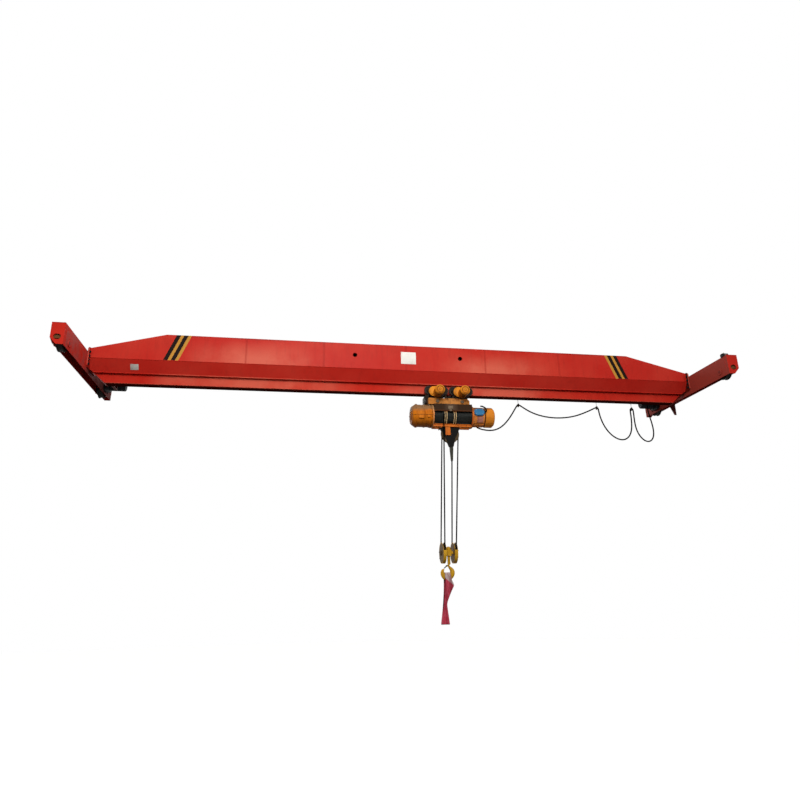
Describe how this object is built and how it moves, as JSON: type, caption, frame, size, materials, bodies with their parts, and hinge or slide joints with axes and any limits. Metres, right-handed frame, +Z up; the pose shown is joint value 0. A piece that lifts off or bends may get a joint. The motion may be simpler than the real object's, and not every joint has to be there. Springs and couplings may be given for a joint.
{
  "type": "overhead bridge crane",
  "caption": "Single-girder overhead bridge crane: box-shaped girder on two end trucks, under-running trolley with wire-rope hoist, hook block, web sling and festoon cable.",
  "frame": {"origin": "mid-span on the girder's centre plane, at the level of the two runway rail heads", "axes": "+X along the girder towards the truck with the limit switch, +Y along the runway away from the trolley motors, +Z up"},
  "size_m": [12.238, 3.03, 5.183],
  "materials": {
    "girder_paint": "semi-gloss red enamel",
    "hoist_paint": "semi-gloss orange-yellow enamel",
    "drive_paint": "dark satin enamel",
    "wheel_steel": "worn tread, dark sides",
    "bare_steel": "dull",
    "greased_rope": "greased wire rope, dark",
    "box_blue": "satin blue enamel",
    "block_paint": "worn yellow enamel",
    "sheave_iron": "rusty cast iron",
    "sling_webbing": "woven polyester, matt",
    "cable_rubber": "matt black sheath"
  },
  "bodies": {
    "bridge": {"girder_shell": "girder_paint", "slope_plates": "girder_paint", "i_beam": "girder_paint", "girder_ends": "girder_paint", "truck_left": "girder_paint", "truck_right": "girder_paint", "bridge_drive_left": "drive_paint", "bridge_drive_right": "drive_paint", "limit_switch": "drive_paint", "track_wire": "bare_steel", "wire_anchors": "girder_paint", "festoon_cable": "cable_rubber"},
    "wheel_left_near": {"wheel_left_near": "wheel_steel"},
    "wheel_left_far": {"wheel_left_far": "wheel_steel"},
    "wheel_right_near": {"wheel_right_near": "wheel_steel"},
    "wheel_right_far": {"wheel_right_far": "wheel_steel"},
    "trolley": {"bogie_1": "hoist_paint", "bogie_2": "hoist_paint", "trolley_drive_1": "hoist_paint", "trolley_drive_2": "hoist_paint", "trolley_frame": "hoist_paint", "drum_housing": "hoist_paint", "hoist_gearbox": "hoist_paint", "hoist_motor": "hoist_paint", "terminal_box": "box_blue", "rope_guide": "bare_steel", "upper_block": "hoist_paint", "wedge_socket": "bare_steel", "rope_falls": "greased_rope"},
    "trolley_wheels_1a": {"trolley_wheels_1a": "hoist_paint"},
    "trolley_wheels_1b": {"trolley_wheels_1b": "hoist_paint"},
    "trolley_wheels_2a": {"trolley_wheels_2a": "hoist_paint"},
    "trolley_wheels_2b": {"trolley_wheels_2b": "hoist_paint"},
    "rope_drum": {"rope_drum": "greased_rope"},
    "upper_sheave": {"upper_sheave": "sheave_iron"},
    "hook_block": {"crosshead": "block_paint", "sheave_guards": "block_paint"},
    "block_sheave_left": {"block_sheave_left": "sheave_iron"},
    "block_sheave_right": {"block_sheave_right": "sheave_iron"},
    "hook": {"hook": "block_paint", "web_sling": "sling_webbing"},
    "hook_latch": {"hook_latch": "bare_steel"},
    "cable_hanger_1": {"cable_hanger_1": "bare_steel"},
    "cable_hanger_2": {"cable_hanger_2": "bare_steel"},
    "cable_hanger_3": {"cable_hanger_3": "bare_steel"}
  },
  "joints": [
    {"name": "trolley_travel", "type": "slide", "parent": "bridge", "child": "trolley", "axis": [1, 0, 0], "range_m": [-2.4, 2.4], "deforming": ["festoon_cable"]},
    {"name": "wheel_left_near_roll", "type": "hinge", "parent": "bridge", "child": "wheel_left_near", "pos_m": [-6, -1.25, 0.135], "axis": [1, 0, 0], "continuous": true},
    {"name": "wheel_left_far_roll", "type": "hinge", "parent": "bridge", "child": "wheel_left_far", "pos_m": [-6, 1.25, 0.135], "axis": [1, 0, 0], "continuous": true},
    {"name": "wheel_right_near_roll", "type": "hinge", "parent": "bridge", "child": "wheel_right_near", "pos_m": [6, -1.25, 0.135], "axis": [1, 0, 0], "continuous": true},
    {"name": "wheel_right_far_roll", "type": "hinge", "parent": "bridge", "child": "wheel_right_far", "pos_m": [6, 1.25, 0.135], "axis": [1, 0, 0], "continuous": true},
    {"name": "trolley_wheels_1a_roll", "type": "hinge", "parent": "trolley", "child": "trolley_wheels_1a", "pos_m": [0.387, 0, -0.055], "axis": [0, 1, 0], "continuous": true},
    {"name": "trolley_wheels_1b_roll", "type": "hinge", "parent": "trolley", "child": "trolley_wheels_1b", "pos_m": [0.687, 0, -0.055], "axis": [0, 1, 0], "continuous": true},
    {"name": "trolley_wheels_2a_roll", "type": "hinge", "parent": "trolley", "child": "trolley_wheels_2a", "pos_m": [0.88, 0, -0.055], "axis": [0, 1, 0], "continuous": true},
    {"name": "trolley_wheels_2b_roll", "type": "hinge", "parent": "trolley", "child": "trolley_wheels_2b", "pos_m": [1.18, 0, -0.055], "axis": [0, 1, 0], "continuous": true},
    {"name": "hoist_lift", "type": "slide", "parent": "trolley", "child": "hook_block", "axis": [0, 0, 1], "range_m": [-3, 1.3], "deforming": ["rope_falls"]},
    {"name": "drum_spin", "type": "hinge", "parent": "trolley", "child": "rope_drum", "pos_m": [0.85, 0, -0.555], "axis": [1, 0, 0], "continuous": true},
    {"name": "upper_sheave_spin", "type": "hinge", "parent": "trolley", "child": "upper_sheave", "pos_m": [0.79, -0.03, -0.915], "axis": [0, 1, 0], "continuous": true},
    {"name": "block_sheave_left_spin", "type": "hinge", "parent": "hook_block", "child": "block_sheave_left", "pos_m": [0.57, 0, -3.14], "axis": [1, 0, 0], "continuous": true},
    {"name": "block_sheave_right_spin", "type": "hinge", "parent": "hook_block", "child": "block_sheave_right", "pos_m": [0.78, 0, -3.14], "axis": [1, 0, 0], "continuous": true},
    {"name": "hook_swivel", "type": "hinge", "parent": "hook_block", "child": "hook", "pos_m": [0.675, 0, -3.14], "axis": [0, 0, 1], "continuous": true},
    {"name": "hook_latch_hinge", "type": "hinge", "parent": "hook", "child": "hook_latch", "pos_m": [0.634, 0, -3.366], "axis": [0, -1, 0], "range_deg": [0, 40], "stiffness_Nm_per_rad": 0.05},
    {"name": "cable_hanger_1_slide", "type": "slide", "parent": "bridge", "child": "cable_hanger_1", "axis": [1, 0, 0], "range_m": [-2.0468, 2.0468]},
    {"name": "cable_hanger_2_slide", "type": "slide", "parent": "bridge", "child": "cable_hanger_2", "axis": [1, 0, 0], "range_m": [-0.5621, 0.5621]},
    {"name": "cable_hanger_3_slide", "type": "slide", "parent": "bridge", "child": "cable_hanger_3", "axis": [1, 0, 0], "range_m": [-0.0828, 0.0828]}
  ],
  "couplings": [
    {"joint": "trolley_wheels_1a_roll", "follows": "trolley_travel", "rad_per_m": 14.347},
    {"joint": "trolley_wheels_1b_roll", "follows": "trolley_travel", "rad_per_m": 14.347},
    {"joint": "trolley_wheels_2a_roll", "follows": "trolley_travel", "rad_per_m": 14.347},
    {"joint": "trolley_wheels_2b_roll", "follows": "trolley_travel", "rad_per_m": 14.347},
    {"joint": "drum_spin", "follows": "hoist_lift", "rad_per_m": -22.599},
    {"joint": "upper_sheave_spin", "follows": "hoist_lift", "rad_per_m": 12.5},
    {"joint": "block_sheave_left_spin", "follows": "hoist_lift", "rad_per_m": -18.987},
    {"joint": "block_sheave_right_spin", "follows": "hoist_lift", "rad_per_m": -6.3291},
    {"joint": "cable_hanger_1_slide", "follows": "trolley_travel", "ratio": 0.8524},
    {"joint": "cable_hanger_2_slide", "follows": "trolley_travel", "ratio": 0.2338},
    {"joint": "cable_hanger_3_slide", "follows": "trolley_travel", "ratio": 0.0341}
  ]
}
